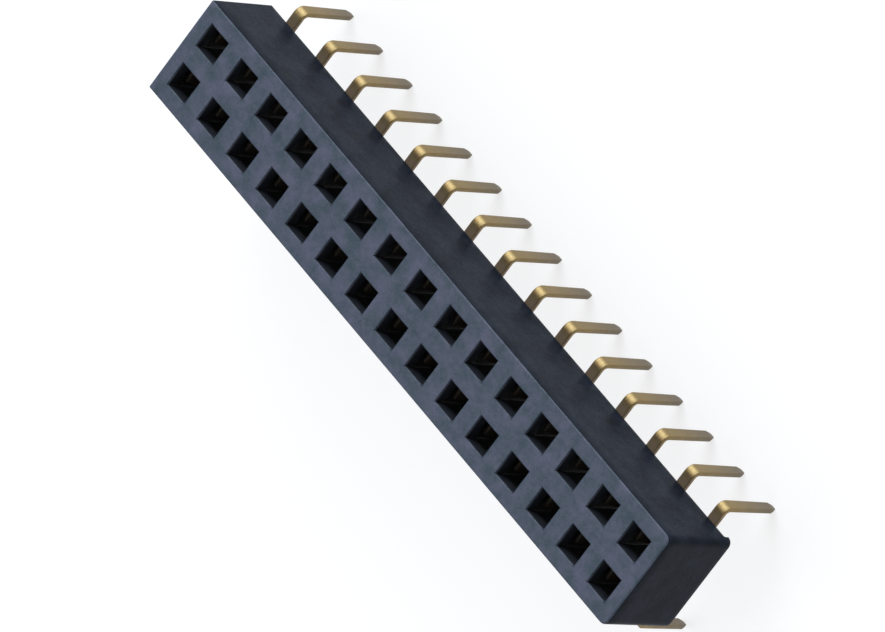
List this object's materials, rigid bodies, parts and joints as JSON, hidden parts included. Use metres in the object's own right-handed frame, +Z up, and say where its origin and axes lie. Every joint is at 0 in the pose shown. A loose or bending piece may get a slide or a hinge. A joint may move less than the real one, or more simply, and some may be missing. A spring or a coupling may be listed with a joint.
{
  "type": "female pin header strip",
  "caption": "Dual-row female pin header strip: upright moulded socket block on standoff feet, with spring contacts whose tails leave sideways and turn down into a board.",
  "frame": {"origin": "centre of the strip on the board's surface, where the standoff feet rest", "axes": "+X along the strip, +Y across the two rows, +Z up out of the mating face; tails point down"},
  "size_m": [0.0304, 0.0062, 0.007],
  "materials": {
    "housing": "dark slate glass-filled thermoplastic, finely eroded mould texture",
    "contacts": "thin dull gold plating on stamped phosphor bronze strip"
  },
  "bodies": {
    "root": {"housing": "housing", "contact_a01": "contacts", "contact_a02": "contacts", "contact_a03": "contacts", "contact_a04": "contacts", "contact_a05": "contacts", "contact_a06": "contacts", "contact_a07": "contacts", "contact_a08": "contacts", "contact_a09": "contacts", "contact_a10": "contacts", "contact_a11": "contacts", "contact_a12": "contacts", "contact_a13": "contacts", "contact_a14": "contacts", "contact_a15": "contacts", "contact_b01": "contacts", "contact_b02": "contacts", "contact_b03": "contacts", "contact_b04": "contacts", "contact_b05": "contacts", "contact_b06": "contacts", "contact_b07": "contacts", "contact_b08": "contacts", "contact_b09": "contacts", "contact_b10": "contacts", "contact_b11": "contacts", "contact_b12": "contacts", "contact_b13": "contacts", "contact_b14": "contacts", "contact_b15": "contacts"}
  },
  "joints": []
}
